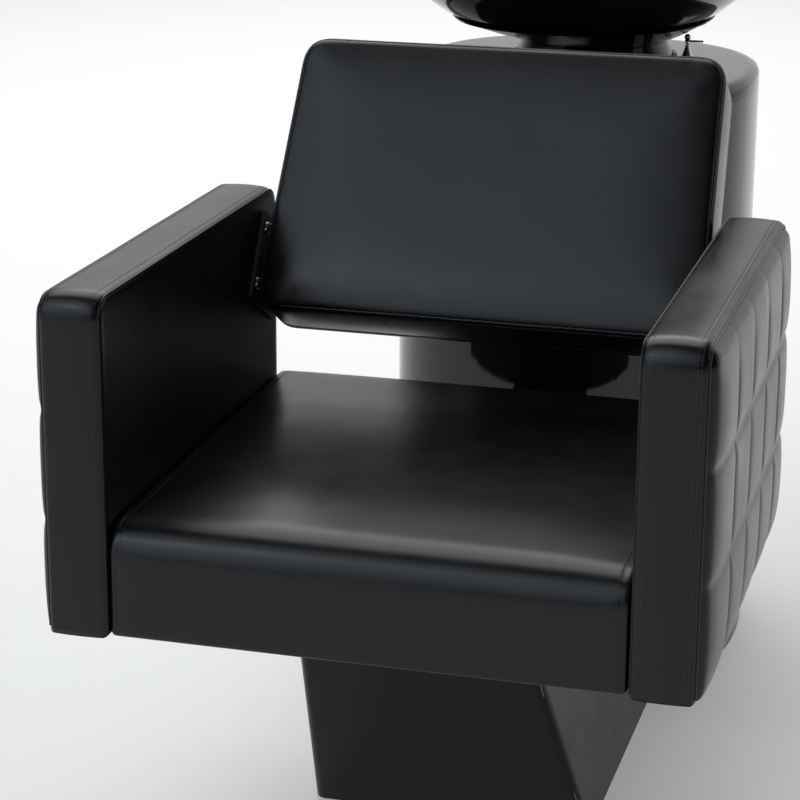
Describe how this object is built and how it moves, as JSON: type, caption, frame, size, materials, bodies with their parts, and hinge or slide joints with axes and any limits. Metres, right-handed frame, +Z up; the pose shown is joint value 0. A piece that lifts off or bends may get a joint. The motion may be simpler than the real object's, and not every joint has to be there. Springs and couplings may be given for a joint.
{
  "type": "shampoo backwash unit",
  "caption": "Salon backwash unit: quilted armchair with a reclined backrest on a flared plinth, joined to a rounded cabinet that carries a tilting shampoo bowl.",
  "frame": {"origin": "on the floor below the middle of the object's bounding box", "axes": "+X to the seated person's left, +Y from the seat's front edge back to the cabinet, +Z up"},
  "size_m": [0.652, 1.252, 1.107],
  "materials": {
    "black_leatherette": "satin, fine leather grain",
    "gloss_black": "high gloss",
    "satin_black": "satin",
    "black_ceramic": "high gloss glaze",
    "chrome": "polished",
    "black_painted_steel": "satin paint",
    "zinc_plated_steel": "plated",
    "nickel_plated_brass": "plated",
    "plywood": "raw",
    "black_laminated_board": "satin laminate",
    "black_rubber": "matt",
    "grey_plastic": "matt",
    "light_grey_hose": "satin",
    "steel_braid": "woven metal over rubber",
    "red_plastic": "satin",
    "blue_plastic": "satin"
  },
  "bodies": {
    "base": {"arm_bolt_left_front": "zinc_plated_steel", "arm_bolt_left_rear": "zinc_plated_steel", "arm_bolt_right_front": "zinc_plated_steel", "arm_bolt_right_rear": "zinc_plated_steel", "arm_core_left": "plywood", "arm_core_right": "plywood", "arm_cover_left": "black_leatherette", "arm_cover_right": "black_leatherette", "arm_quilt_left": "black_leatherette", "arm_quilt_right": "black_leatherette", "back_board": "black_laminated_board", "back_bracket": "black_painted_steel", "back_cushion": "black_leatherette", "back_screw_left_lower": "chrome", "back_screw_left_upper": "chrome", "back_screw_right_lower": "chrome", "back_screw_right_upper": "chrome", "base_plate": "black_painted_steel", "cabinet_anchor_left": "zinc_plated_steel", "cabinet_anchor_right": "zinc_plated_steel", "cabinet_base": "plywood", "cabinet_deck": "gloss_black", "cabinet_screw_left": "chrome", "cabinet_screw_right": "chrome", "cabinet_shell": "gloss_black", "cold_hose": "steel_braid", "cold_valve": "nickel_plated_brass", "door_hinge_fixed": "black_painted_steel", "hot_hose": "steel_braid", "hot_valve": "nickel_plated_brass", "neck_seal": "black_rubber", "pivot_bracket_left": "black_painted_steel", "pivot_bracket_right": "black_painted_steel", "plinth_anchor_left": "zinc_plated_steel", "plinth_anchor_right": "zinc_plated_steel", "plinth_shell": "satin_black", "seat_board": "plywood", "seat_cushion": "black_leatherette", "seat_frame": "black_painted_steel", "support_post": "black_painted_steel", "waste_hose": "light_grey_hose", "waste_trap": "grey_plastic"},
    "bowl": {"bowl_basin": "black_ceramic", "bowl_saucer": "gloss_black", "bowl_neck": "gloss_black", "neck_rest": "black_rubber", "waste_flange": "chrome", "mixer_body": "chrome", "shower_socket": "chrome"},
    "mixer_cap": {"mixer_cap": "chrome"},
    "mixer_lever": {"mixer_lever": "chrome"},
    "strainer": {"hair_strainer": "chrome"},
    "hand_shower": {"hand_shower": "gloss_black"},
    "tilt_lock": {"tilt_lock_lever": "chrome"},
    "door": {"door_panel": "gloss_black", "door_hinge_leaf": "black_painted_steel"},
    "door_latch": {"door_latch": "chrome"},
    "hot_handle": {"hot_handle": "red_plastic"},
    "cold_handle": {"cold_handle": "blue_plastic"}
  },
  "joints": [
    {"name": "bowl_tilt", "type": "hinge", "parent": "base", "child": "bowl", "pos_m": [0, 0.459, 0.735], "axis": [1, 0, 0], "range_deg": [-8, 3], "deforming": ["waste_hose", "hot_hose", "cold_hose"]},
    {"name": "tilt_lock_turn", "type": "hinge", "parent": "base", "child": "tilt_lock", "pos_m": [0.128, 0.424, 0.757], "axis": [0, 0, 1], "range_deg": [0, 90]},
    {"name": "mixer_turn", "type": "hinge", "parent": "bowl", "child": "mixer_cap", "pos_m": [0, 0.557, 1.0305], "axis": [0, 0, 1], "range_deg": [-45, 45]},
    {"name": "mixer_lift", "type": "hinge", "parent": "mixer_cap", "child": "mixer_lever", "pos_m": [0, 0.557, 1.043], "axis": [-1, 0, 0], "range_deg": [0, 25]},
    {"name": "strainer_lift", "type": "slide", "parent": "bowl", "child": "strainer", "axis": [0, 0, 1], "range_m": [0, 0.06]},
    {"name": "handset_lift", "type": "slide", "parent": "bowl", "child": "hand_shower", "axis": [0, 0, 1], "range_m": [0, 0.12]},
    {"name": "door_hinge", "type": "hinge", "parent": "base", "child": "door", "pos_m": [-0.12, 0.59932, 0.39], "axis": [0, 0, 1], "range_deg": [0, 110]},
    {"name": "latch_turn", "type": "hinge", "parent": "door", "child": "door_latch", "pos_m": [0.098, 0.60255, 0.375], "axis": [0.3466, 0.938, 0], "range_deg": [0, 90]},
    {"name": "hot_valve_turn", "type": "hinge", "parent": "base", "child": "hot_handle", "pos_m": [-0.1, 0.474, 0.33], "axis": [0, 1, 0], "range_deg": [0, 90]},
    {"name": "cold_valve_turn", "type": "hinge", "parent": "base", "child": "cold_handle", "pos_m": [0.1, 0.474, 0.33], "axis": [0, 1, 0], "range_deg": [0, 90]}
  ]
}
